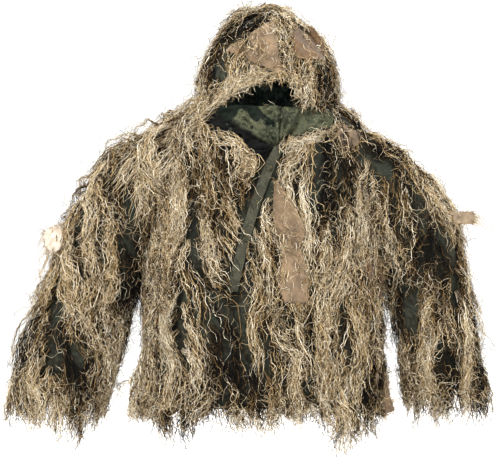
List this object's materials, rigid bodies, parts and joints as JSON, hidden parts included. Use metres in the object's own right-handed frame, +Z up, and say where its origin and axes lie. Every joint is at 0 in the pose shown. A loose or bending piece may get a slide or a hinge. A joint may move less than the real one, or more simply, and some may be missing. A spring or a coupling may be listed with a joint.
{
  "type": "ghillie suit",
  "caption": "Hooded camouflage jacket covered all over with hanging jute fringe and burlap strips, worn to break up a person's outline.",
  "frame": {"origin": "centre of the wearer's neck at the neck seam, as the jacket hangs when worn", "axes": "+Z up, -Y out of the jacket's front, +X to the wearer's left, across both sleeves"},
  "size_m": [1.3037, 0.3602, 1.182],
  "materials": {
    "camo_fabric": "matt woven cotton-polyester, faded camouflage",
    "lining_fabric": "matt woven lining, dark green",
    "olive_fabric": "matt woven cotton, creased",
    "jute_fringe": "raw jute thread, matt and hairy",
    "burlap": "open plain-weave jute, frayed edges",
    "webbing": "woven tape",
    "snap_metal": "blackened brass press stud"
  },
  "bodies": {
    "jacket": {"back_panel": "camo_fabric", "front_panel_left": "camo_fabric", "front_panel_right": "camo_fabric", "neck_lining": "lining_fabric", "throat_flap_left": "olive_fabric", "throat_flap_right": "olive_fabric", "fringe_back_left": "jute_fringe", "fringe_back_right": "jute_fringe", "fringe_front_left": "jute_fringe", "fringe_front_right": "jute_fringe", "neck_band": "camo_fabric", "hanger_loop": "webbing", "under_fly": "olive_fabric", "burlap_chest": "burlap", "burlap_shoulder": "burlap", "burlap_hem": "burlap", "shoulder_gusset_left": "jute_fringe", "shoulder_gusset_right": "jute_fringe", "snap_stud_1": "snap_metal", "snap_stud_2": "snap_metal", "snap_stud_3": "snap_metal", "snap_stud_4": "snap_metal"},
    "fly": {"over_fly": "olive_fabric", "snap_cap_1": "snap_metal", "snap_cap_2": "snap_metal", "snap_cap_3": "snap_metal", "snap_cap_4": "snap_metal"},
    "hood": {"hood_left": "camo_fabric", "hood_right": "camo_fabric", "hood_crown": "camo_fabric", "hood_lining": "lining_fabric", "fringe_hood_left": "jute_fringe", "fringe_hood_right": "jute_fringe", "fringe_hood_crown": "jute_fringe", "burlap_hood_front": "burlap", "burlap_hood_side": "burlap"},
    "upper_sleeve_left": {"sleeve_upper_left": "camo_fabric", "fringe_sleeve_upper_left": "jute_fringe", "elbow_section_left": "jute_fringe", "burlap_sleeve_left": "burlap"},
    "lower_sleeve_left": {"sleeve_lower_left": "camo_fabric", "cuff_left": "olive_fabric", "fringe_sleeve_lower_left": "jute_fringe"},
    "upper_sleeve_right": {"sleeve_upper_right": "camo_fabric", "fringe_sleeve_upper_right": "jute_fringe", "elbow_section_right": "jute_fringe", "burlap_sleeve_right": "burlap"},
    "lower_sleeve_right": {"sleeve_lower_right": "camo_fabric", "cuff_right": "olive_fabric", "fringe_sleeve_lower_right": "jute_fringe"}
  },
  "joints": [
    {"name": "hood_fold", "type": "hinge", "parent": "jacket", "child": "hood", "pos_m": [0.01, 0.132, 0.02], "axis": [-1, 0, 0], "range_deg": [0, 60], "deforming": ["neck_band"]},
    {"name": "shoulder_raise_right", "type": "hinge", "parent": "jacket", "child": "upper_sleeve_right", "pos_m": [-0.235, 0, -0.112], "axis": [0, 1, 0], "range_deg": [0, 50], "deforming": ["shoulder_gusset_right"]},
    {"name": "shoulder_raise_left", "type": "hinge", "parent": "jacket", "child": "upper_sleeve_left", "pos_m": [0.228, 0, -0.112], "axis": [0, -1, 0], "range_deg": [0, 50], "deforming": ["shoulder_gusset_left"]},
    {"name": "elbow_bend_right", "type": "hinge", "parent": "upper_sleeve_right", "child": "lower_sleeve_right", "pos_m": [-0.4383, -0.02, -0.3903], "axis": [-0.9629, 0, 0.27], "range_deg": [0, 55], "deforming": ["elbow_section_right"]},
    {"name": "elbow_bend_left", "type": "hinge", "parent": "upper_sleeve_left", "child": "lower_sleeve_left", "pos_m": [0.4211, -0.02, -0.3805], "axis": [-0.9698, 0, -0.2439], "range_deg": [0, 55], "deforming": ["elbow_section_left"]},
    {"name": "fly_open", "type": "hinge", "parent": "jacket", "child": "fly", "pos_m": [0.05, -0.1497, -0.102], "axis": [0.305, 0.024, 0.952], "range_deg": [0, 80]}
  ]
}
